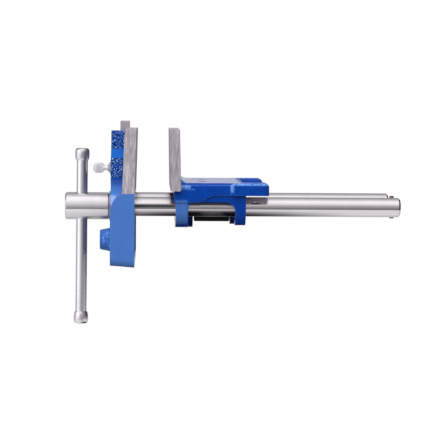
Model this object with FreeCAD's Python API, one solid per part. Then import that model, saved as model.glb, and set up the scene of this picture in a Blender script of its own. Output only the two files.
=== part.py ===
import FreeCAD, Part
import math
import os

from FreeCAD import Vector

# Woodworking vise of 7 inch jaw width with a plain screw. Millimetres.
# +X runs to the rear, into the bench, +Y to the right seen from the handle, +Z up.
# The origin is on the bench face, midway between the two rows of bolt holes.

# Jaws
jaw_width = 178.0
jaw_top = 59.3
opening_shown = 36.4
rear_jaw_thickness = 11.5
rear_jaw_taper = 1.6
rear_jaw_drop = 8.8
rear_toe_in = 1.3
rear_jaw_foot_corner = 2.0
jaw_edge = 0.4
front_jaw_thickness = 12.8
front_jaw_taper = 1.0
front_jaw_foot = -11.8
front_toe_in = 2.0

# Bed of the rear casting, which is bolted up under the bench
jaw_overhang = 5.3
bed_front = -62.2
bed_rear = 43.6
bed_thickness = 13.8
bed_half_width = 78.0
bed_edge_radius = 4.5
bed_fillet = 9.0
ear_half_width = 82.0
ear_start = 1.0
ear_blend = 4.0
ear_corner_radius = 6.0
fork_root = 18.7
fork_half_width = 44.0
fork_corner_radius = 10.0

# Webs and side walls of the rear casting
front_web_thickness = 13.9
rear_web_front = 6.3
rear_web_thickness = 11.7
web_setback = 2.1
web_drop = 39.0
lug_radius_front = 23.3
lug_radius_rear = 20.7
screw_boss_radius_front = 24.0
screw_boss_radius_rear = 20.3
screw_boss_front_reach = 6.3
screw_boss_rear_reach = 3.6
rail_drop = 21.6
rail_length = 29.0
rail_blend = 15.0
rail_front_corner = 1.5
rail_rear_corner = 12.0
arch_drop = 21.4
arch_radius_front = 6.0
arch_radius_rear = 11.0
web_foot_corner_front = 3.0
web_foot_corner_rear = 2.5
side_wall_clearance = 1.0

# Bolt holes to the bench and screw holes for wooden facings
bolt_row_x = 30.0
bolt_hole_dia = 11.0
front_bolt_spacing = 60.0
rear_bolt_spacing = 145.0
facing_hole_dia = 7.0
facing_hole_spacing = 114.0
facing_hole_z = 32.0

# Guide rods
rod_dia = 22.0
rod_spacing = 104.0
rod_z = -27.5
rod_rear_end = 193.0
rod_end_chamfer = 2.0
rod_socket_gap = 0.02
running_gap = 0.08
rod_front_gap = 1.3
rod_pin_dia = 6.0
rod_pin_above = 14.5
rod_pin_below = 16.5
rod_pin_setback = 1.0

# Apron of the front casting
apron_depth = 27.0
apron_bottom = -91.9
apron_bottom_slope = 0.08
apron_wall = 7.0
apron_side_wall = 8.0
apron_ceiling = -21.0
apron_corner_radius = 8.0
shoulder_height = 20.3
rod_boss_radius = 17.0
rod_boss_recess = 1.2
centre_boss_radius = 20.5
centre_boss_length = 13.9
apron_rib = 6.0
front_boss_z = -68.9
front_boss_base_dia = 28.2
front_boss_tip_dia = 22.6
front_boss_height = 13.6
front_boss_edge = 1.5
front_boss_dimple = 4.0
front_boss_dimple_depth = 3.0
front_boss_dimple_setback = 1.5

# Dog, its housing on the front jaw and its thumb screw
dog_thickness = 10.6
dog_width = 28.0
dog_length = 68.0
dog_rise = 8.9
dog_fall = 8.9
dog_gap = 0.3
dog_edge = 1.0
dog_front_wall = 10.5
housing_top = 57.0
housing_stand = 1.0
housing_lean = 0.6
housing_foot = -36.0
housing_foot_half = 27.0
housing_narrow = 19.0
housing_wide = 26.0
housing_slope = 10.0
housing_boss_height = 20.8
housing_boss_lift = 1.5
housing_narrow_corner = 6.0
housing_wide_corner = 4.0
housing_top_corner = 2.0
thumb_screw_z = 14.0
thumb_screw_dia = 8.0
thumb_cone_dia = 16.8
thumb_cone_length = 5.6
thumb_neck_dia = 5.6
thumb_neck_length = 1.6
thumb_spade_length = 13.0
thumb_spade_height = 12.4
thumb_spade_thickness = 4.0
thumb_spade_corner = 5.2
thumb_spade_edge = 0.8
thumb_tip_chamfer = 0.8

# Main screw, its head and what holds it in the front jaw
screw_dia = 22.0
screw_z = -30.0
screw_tail = 196.0
screw_end_chamfer = 1.2
screw_hole_gap = 1.0
head_dia = 31.6
head_length = 50.6
head_spigot_dia = 18.0
head_spigot_length = 24.0
head_spigot_chamfer = 1.0
head_edge = 1.5
washer_dia = 34.0
washer_pad_dia = 38.0
washer_thickness = 1.5
thrust_gap = 0.3
collar_dia = 31.0
collar_length = 10.0
collar_room = 1.5
collar_pin_dia = 5.0
collar_pin_inset = 0.4
stop_pin_dia = 5.0
stop_pin_length = 26.0
stop_pin_from_tail = 5.3

# Nut between the webs
nut_radius = 17.3
nut_front_gap = 1.6
nut_rear_gap = 0.5
nut_edge = 0.8

# Handle
handle_dia = 13.0
handle_length = 202.6
handle_top = 36.4
handle_lean = 0.4
handle_from_head_end = 18.9
handle_hole_gap = 0.5
knob_dia = 16.8
knob_length = 14.3
knob_end_dia = 13.2
knob_belly = 0.45
knob_fullness = 0.7
knob_spigot_dia = 8.0
knob_spigot_length = 10.0

# Planes that several pieces share
far_past = 400.0
rear_face_x = bed_front - jaw_overhang
front_face_x = rear_face_x - opening_shown
apron_rear_x = front_face_x - front_toe_in
apron_front_x = apron_rear_x - apron_depth
half_jaw = jaw_width / 2.0
web_half_width = rod_spacing / 2.0 + lug_radius_front
web_front_x = bed_front + web_setback
web_back_x = web_front_x + front_web_thickness
front_boss_back_x = web_back_x + screw_boss_front_reach
rear_boss_front_x = rear_web_front - screw_boss_rear_reach
rear_web_back = rear_web_front + rear_web_thickness
side_wall_inner = rod_spacing / 2.0 + rod_dia / 2.0 + side_wall_clearance
jaw_outer_foot_x = apron_rear_x - front_jaw_thickness - front_jaw_taper
jaw_outer_top_x = front_face_x - front_jaw_thickness
housing_front_x = apron_front_x - housing_stand
head_rear_x = housing_front_x - thrust_gap - washer_thickness
head_front_x = head_rear_x - head_length
handle_x = head_front_x + handle_from_head_end
centre_boss_back_x = apron_front_x + centre_boss_length
rear_washer_x = centre_boss_back_x + thrust_gap
collar_front_x = rear_washer_x + washer_thickness
dog_front_x = housing_front_x + dog_front_wall + dog_gap
dog_bottom = jaw_top + dog_rise - dog_length
handle_bottom = handle_top - handle_length


def box(x_range, y_range, z_range):
    low = Vector(x_range[0], y_range[0], z_range[0])
    size = [r[1] - r[0] for r in (x_range, y_range, z_range)]
    return Part.makeBox(size[0], size[1], size[2], low)


def x_cylinder(radius, x_range, y=0.0, z=0.0):
    return Part.makeCylinder(radius, x_range[1] - x_range[0], Vector(x_range[0], y, z), Vector(1, 0, 0))


def z_cylinder(radius, z_range, x=0.0, y=0.0):
    return Part.makeCylinder(radius, z_range[1] - z_range[0], Vector(x, y, z_range[0]), Vector(0, 0, 1))


def outline(points):
    """Closed wire through (u, v) points; a third value on a point rounds that corner by it."""
    count = len(points)
    edges = []
    entries = []
    exits = []
    for i, point in enumerate(points):
        here = Vector(point[0], point[1], 0)
        before = Vector(points[i - 1][0], points[i - 1][1], 0)
        after = Vector(points[(i + 1) % count][0], points[(i + 1) % count][1], 0)
        radius = point[2] if len(point) > 2 else 0.0
        if radius <= 0.0:
            entries.append(here)
            exits.append(here)
            continue
        to_before = (before - here).normalize()
        to_after = (after - here).normalize()
        half = to_before.getAngle(to_after) / 2.0
        cut = radius / math.tan(half)
        start = here + to_before * cut
        end = here + to_after * cut
        middle = here + (to_before + to_after).normalize() * (radius / math.sin(half) - radius)
        entries.append(start)
        exits.append(end)
        edges.append(Part.Arc(start, middle, end).toShape())
    for i in range(count):
        start = exits[i]
        end = entries[(i + 1) % count]
        if start.distanceToPoint(end) > 1e-6:
            edges.append(Part.LineSegment(start, end).toShape())
    return Part.Wire(Part.__sortEdges__(edges))


def z_prism(points, z_range):
    """Outline given as (x, y), from the low to the high z."""
    face = Part.Face(outline(points))
    face.translate(Vector(0, 0, z_range[0]))
    return face.extrude(Vector(0, 0, z_range[1] - z_range[0]))


def y_prism(points, y_range):
    """Outline given as (x, z), from the low to the high y."""
    face = Part.Face(outline(points))
    face.rotate(Vector(0, 0, 0), Vector(1, 0, 0), 90)
    face.translate(Vector(0, y_range[0], 0))
    return face.extrude(Vector(0, y_range[1] - y_range[0], 0))


def x_prism(points, x_range):
    """Outline given as (y, z), from the low to the high x."""
    face = Part.Face(outline(points))
    face.rotate(Vector(0, 0, 0), Vector(1, 1, 1), 120)
    face.translate(Vector(x_range[0], 0, 0))
    return face.extrude(Vector(x_range[1] - x_range[0], 0, 0))


def turned(points, base, axis_angle):
    """Solid turned from (distance along the axis, radius) points about the Z axis, then laid."""
    ring = [(0.0, points[0][0])] + [(p[1], p[0]) + tuple(p[2:]) for p in points] + [(0.0, points[-1][0])]
    face = Part.Face(outline(ring))
    face.rotate(Vector(0, 0, 0), Vector(1, 0, 0), 90)
    solid = face.revolve(Vector(0, 0, 0), Vector(0, 0, 1), 360)
    solid.rotate(Vector(0, 0, 0), Vector(0, 1, 0), axis_angle)
    solid.translate(base)
    return solid


def both_sides(solid):
    """The solid and its mirror image across the middle plane."""
    return [solid, solid.mirror(Vector(0, 0, 0), Vector(0, 1, 0))]


def joined(solids):
    return solids[0].multiFuse(solids[1:]).removeSplitter()


def rod_sides():
    return (-rod_spacing / 2.0, rod_spacing / 2.0)


def facing_holes(x_range):
    radius = facing_hole_dia / 2.0
    return [x_cylinder(radius, x_range, side * facing_hole_spacing / 2.0, facing_hole_z) for side in (-1, 1)]


def bed_plate():
    """Flat bed with ears at the rear and an open fork between them, its upper edge rounded."""
    half = [
        (bed_front, -bed_half_width),
        (ear_start, -bed_half_width, ear_blend),
        (ear_start + ear_blend, -ear_half_width, ear_blend / 2.0),
        (bed_rear, -ear_half_width, ear_corner_radius),
        (bed_rear, -fork_half_width, ear_corner_radius),
        (fork_root, -fork_half_width, fork_corner_radius),
    ]
    mirrored = [(p[0], -p[1]) + tuple(p[2:]) for p in reversed(half)]
    plate = z_prism(half + mirrored, (-bed_thickness, 0.0))
    rim = []
    for edge in plate.Edges:
        on_top = edge.BoundBox.ZMin > -0.01
        inside_fork = edge.BoundBox.XMin > fork_root - 0.01 and abs(edge.CenterOfMass.y) < fork_half_width + 0.5
        if on_top and edge.BoundBox.XMax > bed_front + 0.1 and not inside_fork:
            rim.append(edge)
    return plate.makeFillet(min(bed_edge_radius, bed_thickness / 2.0), rim)


def side_walls():
    """Rails under the bed's edges, and walls outside the rods that arch from lug to lug."""
    rail_end = bed_front + rail_length
    rail = y_prism([
        (bed_front, -bed_edge_radius - 1.0),
        (bed_front, -rail_drop, rail_front_corner),
        (rail_end, -rail_drop, rail_rear_corner),
        (rail_end + rail_blend, -bed_thickness + 0.5),
        (rail_end + rail_blend, -bed_edge_radius - 1.0),
    ], (side_wall_inner, bed_half_width))
    front_foot = rod_z - lug_radius_front
    rear_foot = rod_z - lug_radius_rear
    wall = y_prism([
        (web_front_x, -bed_edge_radius),
        (web_front_x, front_foot, web_foot_corner_front),
        (web_back_x, front_foot, web_foot_corner_front),
        (web_back_x, -arch_drop, arch_radius_front),
        (rear_web_front, -arch_drop, arch_radius_rear),
        (rear_web_front, rear_foot, web_foot_corner_rear),
        (rear_web_back, rear_foot, web_foot_corner_rear),
        (rear_web_back, -bed_edge_radius),
    ], (side_wall_inner, web_half_width))
    return both_sides(rail) + both_sides(wall)


def web(x_range, lug_radius, boss_radius, boss_range):
    """Cross web with a lug round each rod and a boss round the screw."""
    lug_bottom = rod_z - lug_radius
    parts = [
        box(x_range, (-web_half_width, web_half_width), (rod_z, -bed_thickness / 2.0)),
        box(x_range, (-rod_spacing / 2.0, rod_spacing / 2.0), (max(-web_drop, lug_bottom), rod_z)),
        x_cylinder(boss_radius, boss_range, 0.0, screw_z),
    ]
    parts += [x_cylinder(lug_radius, x_range, y, rod_z) for y in rod_sides()]
    return parts


def under_mask():
    """All of the space above the rods' axes, and below them only what lies within the lugs."""
    span = (bed_front - 1.0, bed_rear + 1.0)
    parts = [box(span, (-half_jaw, half_jaw), (rod_z, 0.0))]
    parts += [x_cylinder(lug_radius_front, span, y, rod_z) for y in rod_sides()]
    return parts[0].multiFuse(parts[1:])


def rear_jaw():
    """Rear casting: upright jaw, bed under the bench and two webs that carry rods and nut."""
    back_x = rear_face_x + rear_jaw_thickness
    foot_x = back_x + rear_jaw_taper
    jaw = y_prism([
        (rear_face_x + rear_toe_in, -rear_jaw_drop, 2.0 * jaw_edge),
        (rear_face_x, jaw_top, jaw_edge),
        (back_x, jaw_top, jaw_edge),
        (foot_x, -rear_jaw_drop, rear_jaw_foot_corner),
    ], (-half_jaw, half_jaw))
    cove = y_prism([
        (foot_x - 2.0, -bed_thickness / 2.0),
        (foot_x - 1.0, bed_fillet + 4.0),
        (foot_x, 0.0, bed_fillet),
        (foot_x + bed_fillet + 4.0, 0.0),
        (foot_x + bed_fillet + 4.0, -bed_thickness / 2.0),
    ], (-bed_half_width + bed_edge_radius, bed_half_width - bed_edge_radius))
    under = Part.makeCompound(side_walls()).common(under_mask())
    solids = [bed_plate(), jaw, cove] + under.Solids
    solids += web((web_front_x, web_back_x), lug_radius_front, screw_boss_radius_front,
                  (web_front_x, front_boss_back_x))
    solids += web((rear_web_front, rear_web_back), lug_radius_rear, screw_boss_radius_rear,
                  (rear_boss_front_x, rear_web_back))
    casting = solids[0].multiFuse(solids[1:])
    long_way = (bed_front - far_past, bed_rear + far_past)
    holes = [x_cylinder(rod_dia / 2.0 + running_gap, long_way, y, rod_z) for y in rod_sides()]
    holes.append(x_cylinder(screw_dia / 2.0 + screw_hole_gap, long_way, 0.0, screw_z))
    drill = (-bed_thickness - rail_drop, 1.0)
    for x, spacing in ((-bolt_row_x, front_bolt_spacing), (bolt_row_x, rear_bolt_spacing)):
        holes += [z_cylinder(bolt_hole_dia / 2.0, drill, x, side * spacing / 2.0) for side in (-1, 1)]
    holes += facing_holes((rear_face_x - 1.0, foot_x + 1.0))
    for hole in holes:
        casting = casting.cut(hole)
    return casting.removeSplitter()


def shoulder_centre():
    """Centre and radius of the shoulder arc, upright where it leaves the apron's front."""
    run = jaw_outer_foot_x - apron_front_x
    radius = (run * run + shoulder_height * shoulder_height) / (2.0 * run)
    return apron_front_x + radius, front_jaw_foot - shoulder_height, radius


def shoulder_profile(front_x, bottom_z, top_points):
    """Side outline whose front edge rises to the shoulder and follows its arc."""
    centre_x, centre_z, radius = shoulder_centre()
    arc_radius = radius - (front_x - apron_front_x)
    end = Vector(top_points[0][0], 0, top_points[0][1])
    start = Vector(centre_x - arc_radius, 0, centre_z)
    angle = (math.pi + math.atan2(end.z - centre_z, end.x - centre_x)) / 2.0
    middle = Vector(centre_x + arc_radius * math.cos(angle), 0, centre_z + arc_radius * math.sin(angle))
    points = [Vector(p[0], 0, p[1]) for p in top_points] + [Vector(front_x, 0, bottom_z), start]
    edges = [Part.Arc(start, middle, end).toShape()]
    edges += [Part.LineSegment(a, b).toShape() for a, b in zip(points, points[1:])]
    return Part.Face(Part.Wire(Part.__sortEdges__(edges)))


def apron_bottom_at(x):
    """Height of the apron's underside, which falls towards its open side as drawn from the mould."""
    return apron_bottom - apron_bottom_slope * (x - apron_front_x)


def front_blank():
    """Jaw plate leaning in by the toe-in, shoulder and full apron, before it is hollowed."""
    face = shoulder_profile(apron_front_x, apron_bottom, [
        (jaw_outer_foot_x, front_jaw_foot),
        (jaw_outer_top_x, jaw_top),
        (front_face_x, jaw_top),
        (apron_rear_x, front_jaw_foot),
        (apron_rear_x, apron_bottom_at(apron_rear_x)),
    ])
    face.translate(Vector(0, -half_jaw, 0))
    blank = face.extrude(Vector(0, jaw_width, 0))
    corners = []
    for edge in blank.Edges:
        along_x = edge.BoundBox.XLength > 1.0 and edge.BoundBox.YLength < 0.01
        if along_x and edge.BoundBox.ZMax < apron_bottom + 0.01:
            corners.append(edge)
    return blank.makeFillet(apron_corner_radius, corners)


def apron_hollow():
    """Room inside the apron, open to the rear, its front wall parallel to the outside."""
    centre_x, centre_z, radius = shoulder_centre()
    inner_x = apron_front_x + apron_wall
    rise = apron_ceiling - centre_z
    inner_radius = radius - apron_wall
    ceiling_x = centre_x - math.sqrt(inner_radius * inner_radius - rise * rise)
    open_x = apron_rear_x + front_toe_in + 5.0
    face = shoulder_profile(inner_x, apron_bottom_at(inner_x) + apron_wall, [
        (ceiling_x, apron_ceiling),
        (open_x, apron_ceiling),
        (open_x, apron_bottom_at(open_x) + apron_wall),
    ])
    half = half_jaw - apron_side_wall
    face.translate(Vector(0, -half, 0))
    return face.extrude(Vector(0, 2.0 * half, 0))


def dog_housing():
    """Rib on the front jaw that the dog slides in, wider where the thumb screw goes in."""
    boss_top = thumb_screw_z + housing_boss_height / 2.0 + housing_boss_lift
    boss_bottom = boss_top - housing_boss_height
    half = [
        (housing_foot_half, housing_foot),
        (housing_narrow, boss_bottom - housing_slope, housing_narrow_corner),
        (housing_wide, boss_bottom, housing_wide_corner),
        (housing_wide, boss_top, housing_wide_corner),
        (housing_narrow, boss_top + housing_slope, housing_narrow_corner),
        (housing_narrow, housing_top, housing_top_corner),
    ]
    mirrored = [(-p[0],) + tuple(p[1:]) for p in reversed(half)]
    rib = x_prism(half + mirrored, (housing_front_x - 1.0, jaw_outer_top_x + 2.0))
    side = y_prism([
        (housing_front_x, housing_foot),
        (housing_front_x, boss_bottom),
        (housing_front_x + housing_lean, housing_top + 1.0),
        (jaw_outer_top_x + 3.0, housing_top + 1.0),
        (jaw_outer_top_x + 3.0, front_jaw_foot),
        (apron_front_x + apron_wall / 2.0, front_jaw_foot - shoulder_height),
        (apron_front_x + apron_wall / 2.0, housing_foot),
    ], (-half_jaw, half_jaw))
    return rib.common(side)


def front_boss():
    """Tapered boss low on the apron with a dimple in each flank."""
    boss = Part.makeCone(front_boss_base_dia / 2.0, front_boss_tip_dia / 2.0, front_boss_height,
                         Vector(apron_front_x, 0, front_boss_z), Vector(-1, 0, 0))
    rims = [e for e in boss.Edges if e.BoundBox.XMax < apron_front_x - front_boss_height + 0.01]
    boss = boss.makeFillet(front_boss_edge, rims)
    reach = front_boss_base_dia / 2.0 - front_boss_dimple_depth + front_boss_dimple
    for side in (-1, 1):
        centre = Vector(apron_front_x - front_boss_height / 2.0 + front_boss_dimple_setback, side * reach, front_boss_z)
        boss = boss.cut(Part.makeSphere(front_boss_dimple, centre))
    return boss


def front_jaw():
    """Front casting: toed-in jaw, dog housing and hollow apron with bosses and ribs."""
    blank = front_blank()
    casting = blank.cut(apron_hollow())
    inner_x = apron_front_x + apron_wall - 1.0
    boss_end = apron_rear_x - rod_boss_recess
    rib_bottom = apron_bottom_at(boss_end) + apron_wall - 1.0
    rib_top = {0.0: screw_z - centre_boss_radius + 2.0}
    rib_top.update({y: rod_z - rod_boss_radius + 2.0 for y in rod_sides()})
    bosses = [x_cylinder(rod_boss_radius, (inner_x, boss_end), y, rod_z) for y in rod_sides()]
    bosses.append(x_cylinder(centre_boss_radius, (inner_x, centre_boss_back_x), 0.0, screw_z))
    solids = [boss.common(blank) for boss in bosses]
    for y, top in rib_top.items():
        solids.append(box((inner_x, boss_end - 1.0), (y - apron_rib / 2.0, y + apron_rib / 2.0),
                          (rib_bottom, top)))
    pad = x_cylinder(washer_pad_dia / 2.0, (housing_front_x, inner_x), 0.0, screw_z)
    solids += [dog_housing(), front_boss(), pad]
    casting = casting.multiFuse(solids)
    dog_x = (dog_front_x - dog_gap, dog_front_x + dog_thickness + dog_gap)
    slot_half = dog_width / 2.0 + dog_gap
    slot_floor = dog_bottom - dog_fall - dog_gap
    rod_radius = rod_dia / 2.0 + rod_socket_gap
    socket_x = (inner_x + 2.0, apron_rear_x + front_toe_in + 1.0)
    cuts = [x_cylinder(rod_radius, socket_x, y, rod_z) for y in rod_sides()]
    cuts += [
        box(dog_x, (-slot_half, slot_half), (slot_floor, jaw_top + 5.0)),
        x_cylinder(screw_dia / 2.0 + running_gap, (housing_front_x - 1.0, apron_rear_x), 0.0, screw_z),
        x_cylinder(collar_dia / 2.0 + collar_room, (centre_boss_back_x, front_face_x + 1.0), 0.0, screw_z),
        x_cylinder(thumb_screw_dia / 2.0 + running_gap, (housing_front_x - 1.0, dog_front_x), 0.0, thumb_screw_z),
    ]
    cuts += facing_holes((jaw_outer_foot_x - 2.0, front_face_x + 1.0))
    for cut in cuts + rod_pin_solids():
        casting = casting.cut(cut)
    return casting.removeSplitter()


def rod_pin_solids():
    """One spring pin down through each rod boss and rod."""
    x = (apron_front_x + apron_rear_x) / 2.0 + rod_pin_setback
    reach = (rod_z - rod_pin_below, rod_z + rod_pin_above)
    return [z_cylinder(rod_pin_dia / 2.0, reach, x, y) for y in rod_sides()]


def guide_rod(y, pin):
    front_x = apron_front_x + apron_wall + rod_front_gap
    rod = x_cylinder(rod_dia / 2.0, (front_x, rod_rear_end), y, rod_z)
    ends = [e for e in rod.Edges if e.BoundBox.XLength < 0.01]
    return rod.makeChamfer(rod_end_chamfer, ends).cut(pin)


def collar_pin():
    x = collar_front_x + collar_length / 2.0
    reach = collar_dia / 2.0 - collar_pin_inset
    return z_cylinder(collar_pin_dia / 2.0, (screw_z - reach, screw_z + reach), x)


def stop_pin():
    """Pin through the screw's tail that keeps it from being wound out of the nut."""
    x = screw_tail - stop_pin_from_tail
    low = screw_z - stop_pin_length / 2.0
    return z_cylinder(stop_pin_dia / 2.0, (low, low + stop_pin_length), x)


def main_screw():
    spigot_x = head_rear_x - head_spigot_length
    spigot = head_spigot_dia / 2.0
    full = screw_dia / 2.0
    points = [
        (spigot_x, spigot - head_spigot_chamfer),
        (spigot_x + head_spigot_chamfer, spigot),
        (head_rear_x, spigot),
        (head_rear_x, full),
        (screw_tail - screw_end_chamfer, full),
        (screw_tail, full - screw_end_chamfer),
    ]
    screw = turned(points, Vector(0, 0, screw_z), 90)
    return screw.cut(collar_pin()).cut(stop_pin())


def screw_head():
    """Round head with the cross hole for the handle and a blind bore for the screw's end."""
    radius = head_dia / 2.0
    points = [
        (head_front_x, radius - head_edge),
        (head_front_x + head_edge, radius),
        (head_rear_x - head_edge, radius),
        (head_rear_x, radius - head_edge),
    ]
    head = turned(points, Vector(0, 0, screw_z), 90)
    bore = x_cylinder(head_spigot_dia / 2.0, (head_rear_x - head_spigot_length, head_rear_x), 0.0, screw_z)
    cross = z_cylinder(handle_dia / 2.0 + handle_hole_gap, (screw_z - head_dia, screw_z + head_dia), handle_x)
    return head.cut(bore).cut(cross)


def ring_on_screw(dia, front_x, length):
    span = (front_x, front_x + length)
    ring = x_cylinder(dia / 2.0, span, 0.0, screw_z)
    return ring.cut(x_cylinder(screw_dia / 2.0, span, 0.0, screw_z))


def screw_collar():
    return ring_on_screw(collar_dia, collar_front_x, collar_length).cut(collar_pin())


def screw_nut():
    """Long round nut, flat on top where the bed's underside keeps it from turning."""
    span = (front_boss_back_x + nut_front_gap, rear_boss_front_x - nut_rear_gap)
    nut = x_cylinder(nut_radius, span, 0.0, screw_z)
    rims = [e for e in nut.Edges if e.BoundBox.XLength < 0.01]
    nut = nut.makeChamfer(nut_edge, rims)
    flat = box((span[0] - 1.0, span[1] + 1.0), (-nut_radius, nut_radius), (-bed_thickness, 0.0))
    bore = x_cylinder(screw_dia / 2.0 + running_gap, (span[0] - 1.0, span[1] + 1.0), 0.0, screw_z)
    return nut.cut(flat).cut(bore)


def leaned(solid):
    """The handle hangs loose in its hole, so it leans a little to the rear about the screw's axis."""
    solid.rotate(Vector(handle_x, 0, screw_z), Vector(0, 1, 0), handle_lean)
    return solid


def handle_bar():
    low = handle_bottom + knob_length
    high = handle_top - knob_length
    radius = handle_dia / 2.0
    spigot = knob_spigot_dia / 2.0
    points = [
        (low - knob_spigot_length, spigot),
        (low, spigot),
        (low, radius),
        (high, radius),
        (high, spigot),
        (high + knob_spigot_length, spigot),
    ]
    return leaned(turned(points, Vector(handle_x, 0, 0), 0))


def handle_knob(seat, outward):
    """Barrel from its seat on the bar, which is fullest a little nearer to the seat than the end."""
    belly = knob_dia / 2.0
    end = knob_end_dia / 2.0
    between = end + knob_fullness * (belly - end)
    shares = [
        (0.0, end),
        (knob_belly / 2.0, between),
        (knob_belly, belly),
        ((1.0 + knob_belly) / 2.0, between),
        (1.0, end),
    ]
    profile = [(seat + outward * share * knob_length, radius) for share, radius in shares]
    bore = sorted((seat, seat + outward * knob_spigot_length))
    knob = turned(profile, Vector(handle_x, 0, 0), 0)
    return leaned(knob.cut(z_cylinder(knob_spigot_dia / 2.0, bore, handle_x)))


def handle_knobs():
    return handle_knob(handle_top - knob_length, 1), handle_knob(handle_bottom + knob_length, -1)


def dog_bar():
    top = dog_bottom + dog_length
    bar = box((dog_front_x, dog_front_x + dog_thickness), (-dog_width / 2.0, dog_width / 2.0), (dog_bottom, top))
    crown = [e for e in bar.Edges if e.BoundBox.ZMin > top - 0.01]
    return bar.makeFillet(dog_edge, crown)


def dog_thumb_screw():
    """Screw with a cone-shaped collar, a thin neck and a spade with rounded corners to grip."""
    tip = dog_front_x - dog_gap
    cone_x = housing_front_x - dog_gap
    neck_x = cone_x - thumb_cone_length
    spade_rear_x = neck_x - thumb_neck_length
    spade_x = spade_rear_x - thumb_spade_length
    shaft = thumb_screw_dia / 2.0
    neck = thumb_neck_dia / 2.0
    points = [
        (spade_rear_x - thumb_spade_edge - 1.0, neck),
        (neck_x, neck),
        (cone_x, thumb_cone_dia / 2.0),
        (cone_x, shaft),
        (tip - thumb_tip_chamfer, shaft),
        (tip, shaft - thumb_tip_chamfer),
    ]
    body = turned(points, Vector(0, 0, thumb_screw_z), 90)
    low = thumb_screw_z - thumb_spade_height / 2.0
    high = low + thumb_spade_height
    half = thumb_spade_thickness / 2.0
    spade = y_prism([(x, z, thumb_spade_corner) for x, z in
                     ((spade_x, low), (spade_x, high), (spade_rear_x, high), (spade_rear_x, low))], (-half, half))
    spade = spade.makeChamfer(thumb_spade_edge, [e for e in spade.Edges if e.BoundBox.YLength < 0.01])
    return joined([body, spade])


def all_parts():
    pins = rod_pin_solids()
    near, far = rod_sides()
    upper_knob, lower_knob = handle_knobs()
    return {
        "rear_jaw": rear_jaw(),
        "front_jaw": front_jaw(),
        "guide_rod_near": guide_rod(near, pins[0]),
        "guide_rod_far": guide_rod(far, pins[1]),
        "rod_pin_near": pins[0],
        "rod_pin_far": pins[1],
        "main_screw": main_screw(),
        "screw_head": screw_head(),
        "front_thrust_washer": ring_on_screw(washer_dia, head_rear_x, washer_thickness),
        "rear_thrust_washer": ring_on_screw(collar_dia, rear_washer_x, washer_thickness),
        "screw_collar": screw_collar(),
        "collar_pin": collar_pin(),
        "tail_stop_pin": stop_pin(),
        "screw_nut": screw_nut(),
        "handle_bar": handle_bar(),
        "handle_knob_upper": upper_knob,
        "handle_knob_lower": lower_knob,
        "dog_bar": dog_bar(),
        "dog_thumb_screw": dog_thumb_screw(),
    }


os.makedirs("parts", exist_ok=True)
for node, shape in all_parts().items():
    solids = shape.Solids
    print(node, "solids", len(solids), "valid", shape.isValid(), "volume", round(shape.Volume))
    shape.exportStep("parts/" + node + ".step")
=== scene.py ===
import math

import bpy
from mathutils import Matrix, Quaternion, Vector


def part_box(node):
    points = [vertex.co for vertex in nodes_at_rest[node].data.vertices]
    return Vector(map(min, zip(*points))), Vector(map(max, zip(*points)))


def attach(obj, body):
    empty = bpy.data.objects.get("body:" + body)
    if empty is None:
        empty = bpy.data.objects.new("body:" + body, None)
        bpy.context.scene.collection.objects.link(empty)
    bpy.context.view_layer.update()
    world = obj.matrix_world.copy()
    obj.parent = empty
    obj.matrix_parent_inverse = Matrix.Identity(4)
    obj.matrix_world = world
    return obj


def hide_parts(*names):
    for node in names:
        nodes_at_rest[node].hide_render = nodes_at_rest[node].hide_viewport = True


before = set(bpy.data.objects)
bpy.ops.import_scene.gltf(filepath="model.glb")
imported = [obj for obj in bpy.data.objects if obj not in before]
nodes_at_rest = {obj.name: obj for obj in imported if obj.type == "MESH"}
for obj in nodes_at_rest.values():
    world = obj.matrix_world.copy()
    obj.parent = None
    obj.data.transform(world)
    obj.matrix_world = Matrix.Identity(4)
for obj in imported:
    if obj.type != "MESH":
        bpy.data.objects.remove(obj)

MM = 0.001
FULL_TURN = 2.0 * math.pi
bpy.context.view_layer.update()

# The camera stands where the photograph was taken from. Place in metres, lens and sensor in millimetres
CAMERA_PLACE = Vector((-0.083, -2.003, 0.0835))
CAMERA_AIM = Vector((0.03596, 1.0, -0.06312))
CAMERA_ROLL = math.radians(0.40)
CAMERA_LENS = 143.8
CAMERA_SENSOR = 36.0
CAMERA_NEAR = 0.1
CAMERA_FAR = 30.0

# The floor lies below the handle's lowest reach
FLOOR_Z = -0.36
FLOOR_NEAR = -0.68
FLOOR_FAR = 1.6
FLOOR_HALF_WIDTH = 1.4
FLOOR_LIFT = 0.35
FLOOR_WHITE = (247, 247, 247)
FLOOR_GREY = (140, 140, 140)

# Ellipse of painted shadow of the castings, which only metal sees on the floor, and the floor's levels there,
# outside and behind the vise
DIM_X = -0.015
DIM_Y = 0.12
DIM_HALF_X = 0.135
DIM_HALF_Y = 0.42
DIM_BLUR = 0.65
DIM_LEVEL = 0.03
OPEN_LEVEL = 1.03
BEHIND_Y = 0.08
BEHIND_BLUR = 0.12
BEHIND_LEVEL = 0.68

# Planes of the castings, for where paint ends and ground iron starts
REAR_LOW, REAR_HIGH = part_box("rear_jaw")
HALF_JAW = REAR_HIGH.y
JAW_TOP = REAR_HIGH.z
REAR_FACE = REAR_LOW.x
FRONT_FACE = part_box("front_jaw")[1].x
FRONT_FOOT = -11.8 * MM
REAR_FOOT = -8.8 * MM
TOE_IN = 2.0 * MM
REAR_TOE_IN = 1.3 * MM
GROUND_DEPTH = 0.15 * MM
GROUND_BLUR = 0.05 * MM
FACE_DEPTH = 0.2 * MM
FACE_BLUR = 0.1 * MM
FRONT_FOOT_BLUR = 0.2 * MM

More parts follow.
